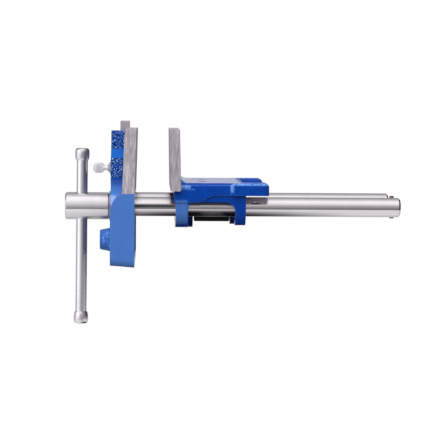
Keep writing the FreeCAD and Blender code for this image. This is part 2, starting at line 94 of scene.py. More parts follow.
# Main screw: its axis, where the head ends, and the thread on it
SCREW_Z = -30.0 * MM
SCREW_RADIUS = 11.0 * MM
SPIGOT_RADIUS = 9.0 * MM
SPIGOT_LENGTH = 24.0 * MM
SPIGOT_CHAMFER = 1.0 * MM
THREAD_PITCH = 3.0 * MM
THREAD_CREST = 0.37 * THREAD_PITCH
THREAD_FLANK = 0.13 * THREAD_PITCH
THREAD_ROOT = 9.4 * MM
THREAD_START = -100.0 * MM
THREAD_RUNOUT = 1.6 * MM
TAIL_CHAMFER = 1.2 * MM
TAIL_TAPER = 0.88
TAIL_GAP = 0.05 * MM
WINDING_STEPS = 32
SHANK_STEPS = 48
ROUND_STEPS = 64
HEAD_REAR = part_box("screw_head")[1].x
SCREW_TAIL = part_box("main_screw")[1].x

# The handle hangs through the head, its top leaning a little to the rear
HANDLE_LEAN = math.radians(0.4)
HANDLE_PIVOT = Vector((-167.4 * MM, 0.0, SCREW_Z))
HANDLE_AXIS = Vector((math.sin(HANDLE_LEAN), 0.0, math.cos(HANDLE_LEAN)))
KNOB_LENGTH = 14.3 * MM
UPPER_SEAT = 52.1 * MM
LOWER_SEAT = -121.9 * MM
# Share of the knob's length from its seat, and radius in mm
KNOB_PROFILE = [
    (0.0, 0.0), (0.0, 6.7), (0.04, 7.1), (0.12, 7.6), (0.25, 8.02), (0.42, 8.3), (0.6, 8.38),
    (0.76, 8.25), (0.88, 7.75), (0.95, 6.95), (0.99, 5.7), (1.0, 3.0), (1.0, 0.0),
]

# Thumb screw: a spade with three raised bars on each side, a neck and a trumpet-shaped collar. The two
# sizes are in mm, for cubes of 1 mm. An edge longer than SPADE_ACROSS along Y is at a corner of the spade
THUMB_LOW, THUMB_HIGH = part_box("dog_thumb_screw")
THUMB_Z = (THUMB_LOW.z + THUMB_HIGH.z) / 2.0
SPADE_SIZE = (13.0, 4.0, 12.4)
SPADE_ACROSS = 3.0 * MM
SPADE_CORNER = 4.9 * MM
SPADE_ROUNDING = 0.8 * MM
SPADE_REAR = THUMB_LOW.x + SPADE_SIZE[0] * MM
SPADE_X = (THUMB_LOW.x + SPADE_REAR) / 2.0
BAR_SIZE = (1.15, 5.4, 8.6)
BAR_ROUNDING = 0.28 * MM
BAR_PLACES = (-2.3 * MM, -0.4 * MM, 1.5 * MM)
NECK_INSIDE = 1.5 * MM
NECK_RADIUS = 2.8 * MM
NECK_LENGTH = 1.6 * MM
COLLAR_LENGTH = 5.6 * MM
SHANK_RADIUS = 4.0 * MM
SHANK_CHAMFER = 0.8 * MM
# Share of the collar's length from the neck, and radius in mm
COLLAR_PROFILE = [
    (0.0, 2.8), (0.16, 2.95), (0.36, 3.5), (0.56, 4.5), (0.74, 5.9), (0.88, 7.3), (0.96, 8.2), (1.0, 8.35),
]

# Colours, sRGB 0 to 255. The enamel of each casting is clouded with a darker tone, and where a list is
# given, it holds stops on a noise, each with its colour
REAR_ENAMEL = (0, 70, 174)
REAR_ENAMEL_DARK = (0, 61, 158)
FRONT_ENAMEL = (80, 127, 207)
FRONT_ENAMEL_DARK = (76, 122, 202)
# Painted highlight on enamel: along the castings' edges, and on the rear casting's near side, cove and front
# lug
HIGHLIGHT_ENAMEL = (120, 172, 240)
SHADED_ENAMEL = (5, 10, 34)
BAND_ENAMEL = (0, 98, 192)
HOUSING_ENAMEL = (74, 150, 228)
# Painted highlight on the front casting's shoulder
SHOULDER_HIGHLIGHT = (172, 202, 255)
BOSS_ENAMEL = (30, 104, 206)
# Painted highlight spots on the boss
GLINT_ENAMEL = (130, 180, 245)
HAMMERED_ENAMEL = [(0.38, (0, 34, 108)), (0.62, (6, 82, 182))]
FLECK_ENAMEL = (176, 208, 248)
# Colours the castings show only in the metal's reflections: a painted greyer reflection, and painted light
# under the ears
ENAMEL_IN_METAL = (122, 120, 138)
EARS_LIT_IN_METAL = (250, 246, 250)
GROUND_IRON = [(0.32, (142, 135, 142)), (0.5, (172, 165, 173)), (0.66, (204, 198, 204))]
# Painted highlight along the edges of the ground iron
IRON_HIGHLIGHT = (206, 212, 228)
ROD_STEEL = (222, 216, 221)
SCREW_STEEL = (200, 194, 196)
HEAD_STEEL = (236, 232, 236)
BAR_STEEL = (240, 238, 243)
KNOB_STEEL = (232, 228, 234)
DOG_STEEL = (178, 169, 175)
THUMB_STEEL = (250, 245, 247)
WASHER_STEEL = (170, 166, 170)
PIN_STEEL = (120, 116, 120)
BLACK_NUT = [(0.3, (2, 2, 4)), (0.7, (8, 6, 11))]
# Painted shade on the rods' undersides and in the thumb screw's grooves
SHADE_DARK = (5, 4, 7)

# Noises: scale a metre, detail and roughness. A stretched one has scale 1 and its scales by axis.
# The cells have their scale alone
PAINT_WEAR = (60.0, 5.0, 0.6)
SKIN_FINE = (260.0, 3.0, 0.55)
SKIN_BROAD = (75.0, 2.0, 0.5)
FLECK_CELLS = 600.0
FLECK_GROUPS = (600.0, 2.0, 0.6)
HAMMER_PITS = (420.0, 2.0, 0.6)
# Noise for the painted highlight spots on the boss
GLINT_SPOTS = (230.0, 2.0, 0.6)
PATCHES = (330.0, 3.0, 0.6)
STEEL_CLOUD = (45.0, 3.0, 0.5)
NUT_SKIN = (300.0, 3.0, 0.5)
GRIND_MARKS = (1.0, 4.0, 0.6)
GRIND_STRETCH = (760.0, 760.0, 90.0)
GRIND_TONE = (1.0, 2.0, 0.5)
TONE_STRETCH = (114.0, 38.0, 22.8)
BRUSH_MARKS = (1.0, 3.0, 0.6)
BRUSH_STRETCH = (110.0, 110.0, 30.0)
TOOLING_MARKS = (1.0, 4.0, 0.6)
TOOLING_STRETCH = 600.0

# How much of a noise counts: its limit and softness
WORN = (0.5, 0.25)
FLECK_SIZE = (0.4, 0.14)
FLECKED = (0.5, 0.07)
BRUSHED = (0.5, 0.16)
# How much of a noise makes a painted highlight spot on the boss
GLINTED = (0.58, 0.05)
PATCHY = (0.46, 0.08)

# How the surfaces shine, how deep and strong their relief is, and how their noises are mixed
ENAMEL_ROUGHNESS = 0.16
DULL_ROUGHNESS = 0.42
IRON_ROUGHNESS = 0.5
IRON_METALLIC = 0.3
ENAMEL_SPECULAR = 0.14
IRON_SPECULAR = 0.3
STEEL_SPECULAR = 0.5
NUT_ROUGHNESS = 0.5
NUT_SPECULAR = 0.2
STEEL_CLOUDED = 0.93
ENAMEL_RELIEF = 1.0 * MM
GRIND_RELIEF = 0.2 * MM
TOOLING_RELIEF = 0.05 * MM
NUT_RELIEF = 0.4 * MM
SKIN_STRENGTH = 0.45
GRIND_STRENGTH = 0.35
NUT_STRENGTH = 0.3
SKIN_MIX = 0.6
HAMMERED_SKIN = 0.25
STREAKED = 0.15
RIM_RADIUS = 1.0 * MM
# Limits with their softness: of the rounded normal along the true one at a rim, where highlights are painted,
# and of a normal's Z
RIM_TURN = (0.88, 0.08)
FACING_DOWN = (-0.5, 0.2)

# Zones on the castings: from, to and softness of the edges, or a limit and its softness
FRONT_INBOARD = (88.0 * MM, 0.3 * MM)
HAMMERED_FOOT = (4.0 * MM, 0.5 * MM)
BAND = (25.9 * MM, 36.2 * MM, 0.4 * MM)
UNDER_HAMMERED = (0.5 * MM, 5.0 * MM, 0.8 * MM)
HOUSING_FOOT = (-22.0 * MM, -10.0 * MM, 3.0 * MM)
# The shoulder carries a painted highlight
SHOULDER = (-31.0 * MM, -17.0 * MM, 2.5 * MM)
SHOULDER_FRONT = (-126.5 * MM, 2.5 * MM)
APRON_FRONT = (-133.6 * MM, 0.3 * MM)
BOSS_FRONT = (-134.0 * MM, 0.5 * MM)
BOSS_TOP = (-40.0 * MM, 1.0 * MM)
# Zones of painted highlights on the rear casting: its near side with the ear step, the corner, the bed rim
# and a line, the cove and the front lug
REAR_NEAR = (-77.4 * MM, 0.4 * MM)
STEP_X = (0.6 * MM, 4.2 * MM, 0.9 * MM)
STEP_Z = (-10.0 * MM, -0.8 * MM, 2.5 * MM)
CORNER_X = (-55.0 * MM, -44.0 * MM, 1.5 * MM)
CORNER_Z = (-6.0 * MM, 2.0 * MM, 0.9 * MM)
BED_RIM = (-2.4 * MM, 0.6 * MM)
LINE_X = (-54.0 * MM, -39.0 * MM, 1.5 * MM)
LINE_Z = (-7.6 * MM, -6.4 * MM, 0.8 * MM)
COVE_X = (-60.0 * MM, -46.0 * MM, 2.0 * MM)
COVE_Z = (0.3 * MM, 7.0 * MM, 1.5 * MM)
COVE_NEAR = (-62.0 * MM, 8.0 * MM)
LUG_X = (-61.0 * MM, -47.0 * MM, 0.8 * MM)
LUG_Z = (-46.0 * MM, -19.5 * MM, 2.5 * MM)
LUG_NEAR = (-60.0 * MM, 6.0 * MM)
# Zone of painted shade round the screw, inside the rear casting
INNER_Y = (34.0 * MM, 5.0 * MM)
INNER_Z = (-30.0 * MM, 3.0 * MM)
DULL_REAR = (13.0 * MM, 4.0 * MM)
# Where the ears start, whose undersides get painted light in reflections
EARS_REAR = (13.0 * MM, 3.0 * MM)

# How fully the tones, painted highlights and painted shade cover their zones. Where two are given, they are
# for the low and the high places of the noise, and IN_METAL_COVER is for the whole casting and for the ears
UNDER_COVER = 0.8
# Covers on the front casting: lighter streaks on the housing's foot, the painted highlight on the shoulder,
# the boss enamel and its painted highlight spots
HOUSING_COVER = (0.15, 0.75)
SHOULDER_COVER = 0.9
BOSS_COVER = (0.2, 0.8)
GLINT_COVER = 0.6
# Covers of the painted highlights on the rear casting, and of its painted shade round the screw
STEP_COVER = 0.85
CORNER_COVER = (0.55, 1.0)
BED_RIM_COVER = (0.2, 0.8)
LINE_COVER = 0.4
COVE_COVER = (0.5, 0.95)
LUG_COVER = 0.38
INNER_COVER = 0.7
# Covers of the painted highlights along the castings' edges, on enamel and on iron
EDGE_HIGHLIGHT_COVER = 0.75
IRON_HIGHLIGHT_COVER = 0.35
IN_METAL_COVER = (0.8, 1.0)

# Zones of painted shade on the rods and the thumb screw and their covers, given the same way. The shelter
# limit is on how open the place is within the shade's reach
ROD_SHADE_X = (-54.0 * MM, 12.0 * MM, 6.0 * MM)
ROD_SHADE_LOW = (-31.6 * MM, 2.6 * MM)
ROD_SHADE_REACH = 60.0 * MM
ROD_SHADE_SHELTER = (0.97, 0.02)
ROD_SHADE_COVER = (0.35, 0.98)
# A painted dark streak on the rods near the front jaw
SHADE_STREAK_X = (-112.0 * MM, -58.0 * MM, 6.0 * MM)
SHADE_STREAK_Z = (-28.3 * MM, -24.5 * MM, 0.9 * MM)
SHADE_STREAK_COVER = 0.88
SPADE_FACE = (2.35 * MM, 0.1 * MM)
GROOVES_X = (THUMB_LOW.x + 3.3 * MM, THUMB_LOW.x + 8.9 * MM, 0.2 * MM)
GROOVES_Z = (THUMB_Z - 4.0 * MM, THUMB_Z + 4.0 * MM, 0.4 * MM)
GROOVES_COVER = 0.3
COLLAR_X = (THUMB_LOW.x + 17.0 * MM, 1.5 * MM)
COLLAR_COVER = 0.45

# Studio brightness as gloss sees it, in degrees round the X axis: 0 at the camera's side, 90 overhead
STUDIO = [
    (-180.0, 1.0), (-171.0, 0.8), (-160.0, 0.5), (-120.0, 0.5), (-90.0, 0.8), (-29.0, 1.05), (-27.0, 0.26),
    (-15.0, 0.3), (0.0, 0.46), (10.0, 0.58), (21.0, 0.78), (33.0, 1.25), (46.0, 1.6), (73.0, 1.8),
    (88.0, 1.35), (105.0, 1.0), (126.0, 0.6), (160.0, 0.46), (171.0, 0.8), (180.0, 1.0),
]
# Factors on it from the front end (-1) to the rear end (1) of the X axis: near the horizon, well off it,
# on the side away from the camera, and the brightness that stands for all of it close to the X axis
LEVEL_ENDS = [
    (-1.0, 1.7), (-0.92, 3.2), (-0.7, 3.4), (-0.37, 2.3), (-0.12, 1.35), (0.03, 1.1), (0.2, 1.1), (0.6, 0.9),
    (1.0, 0.4),
]
STEEP_ENDS = [(-1.0, 0.8), (-0.05, 1.0), (0.16, 1.0), (0.5, 0.45), (1.0, 0.35)]
FAR_ENDS = [(-1.0, 0.3), (-0.4, 0.3), (-0.15, 1.0), (0.15, 1.0), (0.4, 0.14), (1.0, 0.08)]
SIDE_ENDS = [(-1.0, 1.2), (-0.92, 1.8), (-0.7, 1.7), (0.0, 0.5), (0.7, 0.25), (1.0, 0.15)]
# Parts of a direction, with a softness, past which it counts as steep, far or sideways
STEEP = (0.4, 0.15)
FAR = (0.1, 0.15)
SIDEWAYS = (0.8, 0.15)
# Soft light on everything else, from straight down (-1) to straight up (1), and a factor along X
DAYLIGHT = [(-1.0, 0.15), (-0.15, 0.4), (0.1, 0.75), (0.5, 1.0), (1.0, 1.15)]
DAYLIGHT_ENDS = [(-1.0, 0.55), (0.0, 1.0), (1.0, 0.85)]


def set_colour(socket, srgb):
    """Gives a colour socket an sRGB colour of 0 to 255."""
    linear = [((c / 255.0 + 0.055) / 1.055) ** 2.4 if c > 10.3 else c / 255.0 / 12.92 for c in srgb]
    socket.default_value = (*linear, 1.0)


class Wiring:
    """Short ways to wire number nodes in a node tree."""

    def __init__(self, tree):
        self.tree = tree

    def add(self, kind, **values):
        node = self.tree.nodes.new(kind)
        for key, value in values.items():
            setattr(node, key, value)
        return node

    def link(self, source, target):
        self.tree.links.new(source, target)

    def feed(self, socket, value):
        if isinstance(value, (int, float)):
            socket.default_value = value
        else:
            self.link(value, socket)

    def maths(self, operation, a, b=0.0, c=0.0):
        node = self.add("ShaderNodeMath", operation=operation)
        for socket, value in zip(node.inputs, (a, b, c)):
            self.feed(socket, value)
        return node.outputs[0]

    def times(self, first, *others):
        for other in others:
            first = self.maths("MULTIPLY", first, other)
        return first

    def largest(self, first, *others):
        for other in others:
            first = self.maths("MAXIMUM", first, other)
        return first

    def without(self, value):
        """1 less the value."""
        return self.maths("SUBTRACT", 1.0, value)

    def above(self, value, limit, blur):
        """1 where value is over the limit, 0 under it, with a soft edge."""
        node = self.add("ShaderNodeMapRange", interpolation_type="SMOOTHSTEP")
        self.feed(node.inputs["Value"], value)
        self.feed(node.inputs["From Min"], limit - blur)
        self.feed(node.inputs["From Max"], limit + blur)
        return node.outputs[0]

    def below(self, value, limit, blur):
        return self.above(self.times(value, -1.0), -limit, blur)

    def between(self, value, low, high, blur):
        return self.times(self.above(value, low, blur), self.below(value, high, blur))

    def blended(self, factor, low, high):
        """Number between low and high by the factor."""
        return self.maths("ADD", self.times(factor, high), self.times(self.without(factor), low))

    def levels(self, value, stops):
        """Brightness read off (value, level) stops, straight from one to the next."""
        low = stops[0][0]
        high = stops[-1][0]
        most = max(level for _, level in stops)
        ramp = self.add("ShaderNodeValToRGB")
        elements = ramp.color_ramp.elements
        while len(elements) < len(stops):
            elements.new(0.5)
        for element, (place, _) in zip(elements, stops):
            element.position = (place - low) / (high - low)
        for element, (_, level) in zip(elements, stops):
            element.color = (level / most, level / most, level / most, 1.0)
        self.link(self.maths("DIVIDE", self.maths("SUBTRACT", value, low), high - low), ramp.inputs[0])
        return self.times(ramp.outputs[0], most)


class Finish(Wiring):
    """A material under construction: its nodes, its shader and ways to place patterns on the piece."""

    def __init__(self, name):
        self.material = bpy.data.materials.new(name)
        self.material.use_nodes = True
        super().__init__(self.material.node_tree)
        self.shader = self.tree.nodes["Principled BSDF"]
        self.place = self.add("ShaderNodeTexCoord").outputs["Object"]

    def axis(self, letter):
        node = self.add("ShaderNodeSeparateXYZ")
        self.link(self.place, node.inputs[0])
        return node.outputs[letter]

    def stretched(self, scales):
        node = self.add("ShaderNodeMapping")
        node.inputs["Scale"].default_value = scales
        self.link(self.place, node.inputs[0])
        return node.outputs[0]

    def noise(self, scale, detail, roughness, place=None):
        node = self.add("ShaderNodeTexNoise")
        self.link(place or self.place, node.inputs["Vector"])
        node.inputs["Scale"].default_value = scale
        node.inputs["Detail"].default_value = detail
        node.inputs["Roughness"].default_value = roughness
        return node.outputs["Fac"]

    def cells(self, scale):
        """Distance to the nearest of many scattered points."""
        node = self.add("ShaderNodeTexVoronoi")
        self.link(self.place, node.inputs["Vector"])
        node.inputs["Scale"].default_value = scale
        return node.outputs["Distance"]

    def ramp(self, factor, stops):
        """Colour ramp from (position, sRGB) stops."""
        node = self.add("ShaderNodeValToRGB")
        elements = node.color_ramp.elements
        while len(elements) < len(stops):
            elements.new(0.5)
        for element, (position, _) in zip(elements, stops):
            element.position = position
        for element, (_, srgb) in zip(elements, stops):
            probe = self.add("ShaderNodeRGB")
            set_colour(probe.outputs[0], srgb)
            element.color = probe.outputs[0].default_value
            self.tree.nodes.remove(probe)
        self.link(factor, node.inputs[0])
        return node.outputs[0]

    def mixed(self, factor, low, high):
        node = self.add("ShaderNodeMix", data_type="RGBA")
        self.feed(node.inputs["Factor"], factor)
        for socket, value in ((node.inputs["A"], low), (node.inputs["B"], high)):
            if isinstance(value, tuple):
                set_colour(socket, value)
            else:
                self.link(value, socket)
        return node.outputs["Result"]

    def bump(self, height, strength, distance, normal=None):
        node = self.add("ShaderNodeBump")
        self.feed(node.inputs["Strength"], strength)
        node.inputs["Distance"].default_value = distance
        self.link(height, node.inputs["Height"])
        if normal is not None:
            self.link(normal, node.inputs["Normal"])
        return node.outputs[0]


def enamel_look(finish, enamel, dark_enamel, paints, lights):
    """Colour, height and roughness of enamel, with painted highlights and painted shade, other layers or
    hammered places if asked.
    """
    paint = finish.mixed(finish.above(finish.noise(*PAINT_WEAR), *WORN), dark_enamel, enamel)
    skin = finish.blended(SKIN_MIX, finish.noise(*SKIN_FINE), finish.noise(*SKIN_BROAD))
    roughness = ENAMEL_ROUGHNESS
    if lights:
        highlight, shade, dull = lights(finish)
        # Painted highlights over the enamel, then painted shade
        paint = finish.mixed(shade, finish.mixed(highlight, paint, HIGHLIGHT_ENAMEL), SHADED_ENAMEL)
        roughness = finish.blended(dull, ENAMEL_ROUGHNESS, DULL_ROUGHNESS)
    if paints:
        hammered, layers = paints(finish)
        for cover, colour in layers:
            paint = finish.mixed(cover, paint, colour)
        spots = finish.below(finish.cells(FLECK_CELLS), *FLECK_SIZE)
        flecks = finish.times(spots, finish.above(finish.noise(*FLECK_GROUPS), *FLECKED))
        mottled = finish.mixed(flecks, finish.ramp(finish.noise(*HAMMER_PITS), HAMMERED_ENAMEL), FLECK_ENAMEL)
        paint = finish.mixed(hammered, paint, mottled)
        skin = finish.maths("ADD", finish.times(skin, HAMMERED_SKIN), finish.times(flecks, hammered))
    return paint, skin, roughness


def as_metal_sees(finish, paint, normal):
    """Enamel as other metal reflects it: a painted greyer reflection, and painted light on the undersides of
    the rear casting's ears.
    """
    slope = finish.add("ShaderNodeSeparateXYZ")
    finish.link(normal, slope.inputs[0])
    downward = finish.below(slope.outputs["Z"], *FACING_DOWN)
    # Painted light on the ears' undersides, seen only in reflections
    lit_ears = finish.times(downward, finish.above(finish.axis("X"), *EARS_REAR))
    tint = finish.mixed(lit_ears, ENAMEL_IN_METAL, EARS_LIT_IN_METAL)
    in_metal = finish.add("ShaderNodeLightPath").outputs["Is Glossy Ray"]
    return finish.mixed(finish.times(in_metal, finish.blended(lit_ears, *IN_METAL_COVER)), paint, tint)


def casting_finish(name, enamel, dark_enamel, ground, iron_light, paints=None, lights=None):
    """Enamel on cast iron with painted highlights along its edges, and bare iron, with fainter painted
    highlights along its edges, where it is ground.
    """
    finish = Finish(name)
    shader = finish.shader
    bare = ground(finish)
    paint, skin, roughness = enamel_look(finish, enamel, dark_enamel, paints, lights)
    streaks = finish.noise(*GRIND_MARKS, finish.stretched(GRIND_STRETCH))
    tone = finish.noise(*GRIND_TONE, finish.stretched(TONE_STRETCH))
    greys = [(place, tuple(c * iron_light for c in grey)) for place, grey in GROUND_IRON]
    iron = finish.ramp(finish.blended(STREAKED, streaks, tone), greys)
    edge = finish.add("ShaderNodeBevel", samples=4)
    edge.inputs["Radius"].default_value = RIM_RADIUS
    normal = finish.add("ShaderNodeNewGeometry").outputs["Normal"]
    turned = finish.add("ShaderNodeVectorMath", operation="DOT_PRODUCT")
    finish.link(edge.outputs[0], turned.inputs[0])
    finish.link(normal, turned.inputs[1])
    # Painted highlights along the rounded edges, on the enamel and on the iron
    highlight_rim = finish.below(turned.outputs["Value"], *RIM_TURN)
    paint = as_metal_sees(finish, finish.mixed(finish.times(highlight_rim, EDGE_HIGHLIGHT_COVER), paint, HIGHLIGHT_ENAMEL), normal)
    iron = finish.mixed(finish.times(highlight_rim, IRON_HIGHLIGHT_COVER), iron, IRON_HIGHLIGHT)
    finish.link(finish.mixed(bare, paint, iron), shader.inputs["Base Color"])
    finish.link(finish.times(bare, IRON_METALLIC), shader.inputs["Metallic"])
    finish.link(finish.blended(bare, roughness, IRON_ROUGHNESS), shader.inputs["Roughness"])
    specular = finish.blended(bare, ENAMEL_SPECULAR, IRON_SPECULAR)
    finish.link(specular, shader.inputs["Specular IOR Level"])
    coat = finish.bump(skin, finish.blended(bare, SKIN_STRENGTH, 0.0), ENAMEL_RELIEF, edge.outputs[0])
    grind = finish.bump(streaks, finish.blended(bare, 0.0, GRIND_STRENGTH), GRIND_RELIEF, coat)
    finish.link(grind, shader.inputs["Normal"])
    return finish.material


def ground_jaw(finish, face, foot, foot_blur):
    """Face, ends and top of a jaw, down to its foot."""
    y, z = (finish.axis(letter) for letter in "YZ")
    ends = finish.above(finish.maths("ABSOLUTE", y), HALF_JAW - GROUND_DEPTH, GROUND_BLUR)
    top = finish.above(z, JAW_TOP - GROUND_DEPTH, GROUND_BLUR)
    return finish.times(finish.largest(ends, top, face), finish.above(z, foot, foot_blur))


def rear_ground(finish):
    lean = REAR_TOE_IN / (JAW_TOP - REAR_FOOT)
    upright_x = finish.maths("ADD", finish.axis("X"), finish.times(finish.axis("Z"), lean))
    face = finish.below(upright_x, REAR_FACE + JAW_TOP * lean + FACE_DEPTH, FACE_BLUR)
    return ground_jaw(finish, face, REAR_FOOT - FACE_DEPTH, FACE_BLUR)


def front_ground(finish):
    lean = TOE_IN / (JAW_TOP - FRONT_FOOT)
    upright_x = finish.maths("SUBTRACT", finish.axis("X"), finish.times(finish.axis("Z"), lean))
    face = finish.above(upright_x, FRONT_FACE - JAW_TOP * lean - FACE_DEPTH, FACE_BLUR)
    return ground_jaw(finish, face, FRONT_FOOT, FRONT_FOOT_BLUR)


def front_paints(finish):
    """Where the enamel is hammered, and the layers over the smooth enamel, each with its cover: band enamel,
    lighter streaked enamel on the housing's foot, a painted highlight on the shoulder, boss enamel and
    painted highlight spots on the boss.
    """
    x, y, z = (finish.axis(letter) for letter in "XYZ")
    inboard = finish.below(finish.maths("ABSOLUTE", y), *FRONT_INBOARD)
    band = finish.between(z, *BAND)
    hammered = finish.maths("SUBTRACT", finish.above(z, *HAMMERED_FOOT), band)
    under = finish.between(z, *UNDER_HAMMERED)
    shoulder = finish.times(finish.between(z, *SHOULDER), finish.below(x, *SHOULDER_FRONT))
    housing = finish.between(z, *HOUSING_FOOT)
    over_boss = finish.times(finish.below(x, *BOSS_FRONT), finish.above(z, *BOSS_TOP))
    boss = finish.times(finish.without(over_boss), finish.below(x, *APRON_FRONT))
    brushed = finish.above(finish.noise(*BRUSH_MARKS, finish.stretched(BRUSH_STRETCH)), *BRUSHED)
    # Spots of painted highlight on the boss
    glints = finish.times(finish.above(finish.noise(*GLINT_SPOTS), *GLINTED), boss)
    layers = [
        (finish.largest(band, finish.times(under, UNDER_COVER)), BAND_ENAMEL),
        (finish.times(housing, finish.blended(brushed, *HOUSING_COVER)), HOUSING_ENAMEL),
        # Painted highlight on the shoulder
        (finish.times(shoulder, SHOULDER_COVER), SHOULDER_HIGHLIGHT),
        (finish.times(boss, finish.blended(brushed, *BOSS_COVER)), BOSS_ENAMEL),
        # Painted highlight spots on the boss
        (finish.times(glints, GLINT_COVER), GLINT_ENAMEL),
    ]
    return finish.times(inboard, hammered), [(finish.times(inboard, cover), tone) for cover, tone in layers]


def rear_lights(finish):
    """Covers of painted highlights at the near side, the cove and the front lug, of painted shade round the
    screw, and of duller enamel behind.
    """
    x, y, z = (finish.axis(letter) for letter in "XYZ")
    patchy = finish.above(finish.noise(*PATCHES), *PATCHY)
    # Painted highlights: the ear step, the corner, the bed rim, a line, the cove and the front lug
    step = finish.times(finish.between(x, *STEP_X), finish.between(z, *STEP_Z), STEP_COVER)
    corner = finish.times(finish.between(x, *CORNER_X), finish.between(z, *CORNER_Z),
                          finish.blended(patchy, *CORNER_COVER))
    highlight_rim = finish.times(finish.above(z, *BED_RIM), finish.blended(patchy, *BED_RIM_COVER))
    line = finish.times(finish.between(x, *LINE_X), finish.between(z, *LINE_Z), LINE_COVER)
    side = finish.times(finish.below(y, *REAR_NEAR), finish.largest(step, corner, highlight_rim, line))
    cove = finish.times(finish.between(x, *COVE_X), finish.between(z, *COVE_Z), finish.below(y, *COVE_NEAR),
                        finish.blended(patchy, *COVE_COVER))
    lug = finish.times(finish.between(x, *LUG_X), finish.between(z, *LUG_Z), finish.below(y, *LUG_NEAR),
                       LUG_COVER)
    # Painted shade round the screw
    inner = finish.times(finish.below(finish.maths("ABSOLUTE", y), *INNER_Y), finish.below(z, *INNER_Z),
                         INNER_COVER)
    return finish.largest(side, cove, lug), inner, finish.above(x, *DULL_REAR)


def rod_shade(finish):
    """Painted shade under the rods where they run between the webs, deepest where they are enclosed, and a
    painted dark streak near the front jaw.
    """
    x, z = (finish.axis(letter) for letter in "XZ")
    shelter = finish.add("ShaderNodeAmbientOcclusion", samples=12)
    shelter.inputs["Distance"].default_value = ROD_SHADE_REACH
    enclosed = finish.below(shelter.outputs["AO"], *ROD_SHADE_SHELTER)
    # Painted shade under the rods between the webs, deepest where they are enclosed
    under = finish.times(finish.between(x, *ROD_SHADE_X), finish.below(z, *ROD_SHADE_LOW),
                         finish.blended(enclosed, *ROD_SHADE_COVER))
    # Painted dark streak near the front jaw
    streak = finish.times(finish.between(x, *SHADE_STREAK_X), finish.between(z, *SHADE_STREAK_Z), SHADE_STREAK_COVER)
    return finish.largest(under, streak)


def spade_grooves(finish):
    """Shade between the raised bars of the thumb screw's spade, and on its collar."""
    x, y, z = (finish.axis(letter) for letter in "XYZ")
    face = finish.below(finish.maths("ABSOLUTE", y), *SPADE_FACE)
    grooves = finish.times(finish.between(x, *GROOVES_X), finish.between(z, *GROOVES_Z), face, GROOVES_COVER)
    return finish.largest(grooves, finish.times(finish.above(x, *COLLAR_X), COLLAR_COVER))


def steel(name, srgb, roughness, metallic=1.0, along=(1.0, 1.0, 1.0), scratch=0.12, spread=0.0,
          spread_axis="X", shade_mask=None):
    """Steel with fine tooling marks, drawn out along one axis, and if asked with spread gloss and painted
    shade.
    """
    finish = Finish(name)
    shader = finish.shader
    marks = finish.noise(*TOOLING_MARKS, finish.stretched(tuple(TOOLING_STRETCH * a for a in along)))
    colour = finish.mixed(finish.noise(*STEEL_CLOUD), tuple(int(c * STEEL_CLOUDED) for c in srgb), srgb)
    shader.inputs["Metallic"].default_value = metallic
    if shade_mask:
        # Painted shade: darker colour and no shine where the mask says
        shaded = shade_mask(finish)
        unshaded = finish.without(shaded)
        colour = finish.mixed(shaded, colour, SHADE_DARK)
        finish.link(finish.times(unshaded, metallic), shader.inputs["Metallic"])
        finish.link(finish.times(unshaded, STEEL_SPECULAR), shader.inputs["Specular IOR Level"])
    finish.link(colour, shader.inputs["Base Color"])
    finish.link(finish.blended(marks, roughness * 0.8, roughness * 1.2), shader.inputs["Roughness"])
    finish.link(finish.bump(marks, scratch, TOOLING_RELIEF), shader.inputs["Normal"])
    if spread:
        shader.inputs["Anisotropic"].default_value = spread
        shader.inputs["Anisotropic Rotation"].default_value = 0.25
        tangent = finish.add("ShaderNodeTangent", direction_type="RADIAL", axis=spread_axis)
        finish.link(tangent.outputs[0], shader.inputs["Tangent"])
    return finish.material


def black_nut():
    finish = Finish("black_nut")
    skin = finish.noise(*NUT_SKIN)
    finish.link(finish.ramp(skin, BLACK_NUT), finish.shader.inputs["Base Color"])
    finish.shader.inputs["Roughness"].default_value = NUT_ROUGHNESS
    finish.shader.inputs["Specular IOR Level"].default_value = NUT_SPECULAR
    finish.link(finish.bump(skin, NUT_STRENGTH, NUT_RELIEF), finish.shader.inputs["Normal"])
    return finish.material


def give_finish(part, material):
    part.data.materials.clear()
    part.data.materials.append(material)


def dress(names, material):
    for name in names:
        give_finish(nodes_at_rest[name], material)


def add_primitive(name, add, **values):
    """Adds a primitive with nothing else selected and opens it in edit mode, all of it selected."""
    bpy.ops.object.select_all(action="DESELECT")
    add(**values)
    part = bpy.context.object
    part.name = name
    part.data.name = name
    bpy.ops.object.mode_set(mode="EDIT")
    bpy.ops.mesh.select_all(action="SELECT")
    return part


def close_shape():
    """Merges doubles, turns the faces outwards and leaves edit mode."""
    bpy.ops.mesh.select_all(action="SELECT")
    bpy.ops.mesh.remove_doubles(threshold=1e-6)
    bpy.ops.mesh.normals_make_consistent(inside=False)
    bpy.ops.object.mode_set(mode="OBJECT")


def pick(part):
    bpy.ops.object.select_all(action="DESELECT")
    part.select_set(True)
    bpy.context.view_layer.objects.active = part


def smooth(part, degrees):
    pick(part)
    bpy.ops.object.shade_smooth_by_angle(angle=math.radians(degrees))


def draw_profile(name, points):
    """Chain of edges through (x, radius) points, drawn out from a plane shrunk to its first point."""
    part = add_primitive(name, bpy.ops.mesh.primitive_plane_add, size=MM)
    bpy.ops.mesh.merge(type="CENTER")
    bpy.ops.transform.translate(value=(points[0][0], 0.0, points[0][1]))
    for (x, radius), (next_x, next_radius) in zip(points, points[1:]):
        bpy.ops.mesh.extrude_region_move(
            TRANSFORM_OT_translate={"value": (next_x - x, 0.0, next_radius - radius)})
    return part


